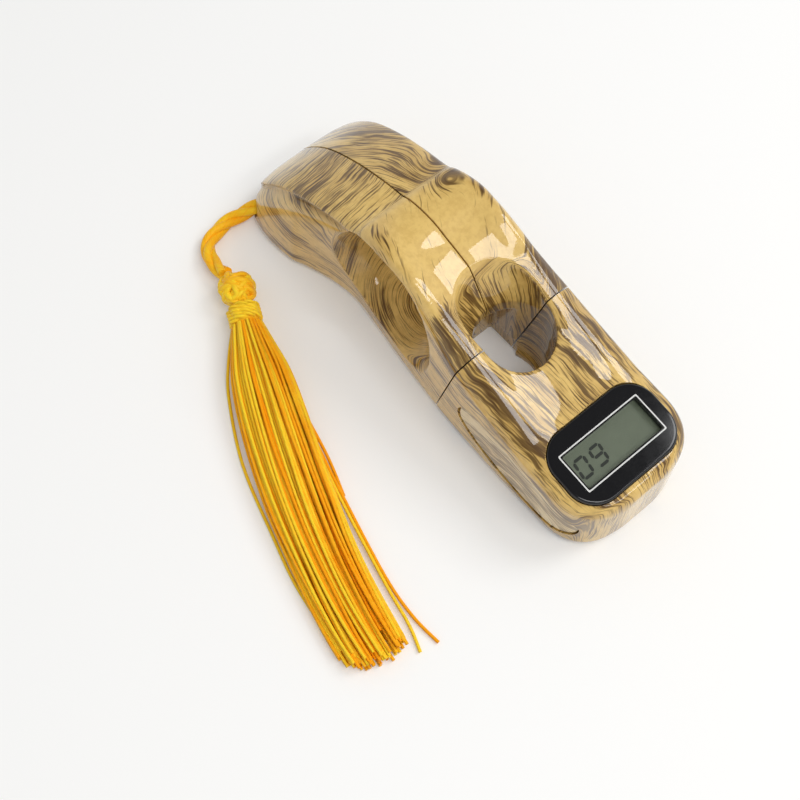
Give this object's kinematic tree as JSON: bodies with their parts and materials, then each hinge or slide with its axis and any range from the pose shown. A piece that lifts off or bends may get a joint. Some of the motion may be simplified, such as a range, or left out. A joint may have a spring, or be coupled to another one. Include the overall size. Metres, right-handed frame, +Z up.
{
  "type": "digital tally counter",
  "caption": "Hand-held bead counter with a loop handle, a round bead hole, a sliding display head with side buttons, and a tassel.",
  "frame": {"origin": "on the surface the counter lies on, under the middle of the body, without the cord and tassel", "axes": "+X from the tail of the handle to the nose of the display head, +Z up out of the display side"},
  "size_m": [0.1124, 0.0831, 0.0354],
  "materials": {
    "wood_print": "printed wood grain under a clear gloss coat",
    "wood_print_pale": "printed wood grain under a clear gloss coat",
    "black_gloss": "polished black",
    "clear_window": "clear",
    "lcd_glass": "grey green display glass",
    "grey_rubber": "matt",
    "green_board": "solder mask",
    "black_epoxy": "potted",
    "black_plastic": "moulded",
    "bright_steel": "ground",
    "screw_steel": "plated",
    "spring_steel": "nickel plated strip",
    "cell_steel": "nickel plated can",
    "brass": "turned",
    "gold_thread": "shiny twisted thread"
  },
  "bodies": {
    "root": {"handle_shell_left": "wood_print", "handle_shell_right": "wood_print", "handle_screw_1": "screw_steel", "handle_screw_2": "screw_steel", "handle_screw_3": "screw_steel", "guide_post_left": "bright_steel", "guide_post_right": "bright_steel", "cord_anchor_pin": "bright_steel", "hanging_cord": "gold_thread", "tassel_knot": "gold_thread", "tassel_binding": "gold_thread", "tassel_skirt": "gold_thread"},
    "head": {"head_shell": "wood_print", "head_base": "wood_print", "base_screw_1": "screw_steel", "base_screw_2": "screw_steel", "battery_door": "wood_print", "battery_door_screw": "screw_steel", "post_bush_left": "brass", "post_bush_right": "brass", "display_plate": "black_gloss", "display_window": "clear_window", "lcd_panel": "lcd_glass", "lcd_connector_back": "grey_rubber", "lcd_connector_front": "grey_rubber", "circuit_board": "green_board", "board_screw_1": "screw_steel", "board_screw_2": "screw_steel", "controller_chip": "black_epoxy", "count_switch": "black_plastic", "reset_switch": "black_plastic", "button_cell": "cell_steel", "battery_contact_plus": "spring_steel", "battery_contact_minus": "spring_steel"},
    "count_button": {"count_button": "wood_print_pale", "count_plunger": "black_plastic"},
    "reset_button": {"reset_button": "wood_print_pale", "reset_plunger": "black_plastic"}
  },
  "joints": [
    {"name": "head_slide", "type": "slide", "parent": "root", "child": "head", "axis": [1, 0, 0], "range_m": [0, 0.007]},
    {"name": "count_press", "type": "slide", "parent": "head", "child": "count_button", "axis": [0, -1, 0], "range_m": [0, 0.0007], "stiffness_N_per_m": 1500},
    {"name": "reset_press", "type": "slide", "parent": "head", "child": "reset_button", "axis": [0, 1, 0], "range_m": [0, 0.0007], "stiffness_N_per_m": 1500}
  ]
}
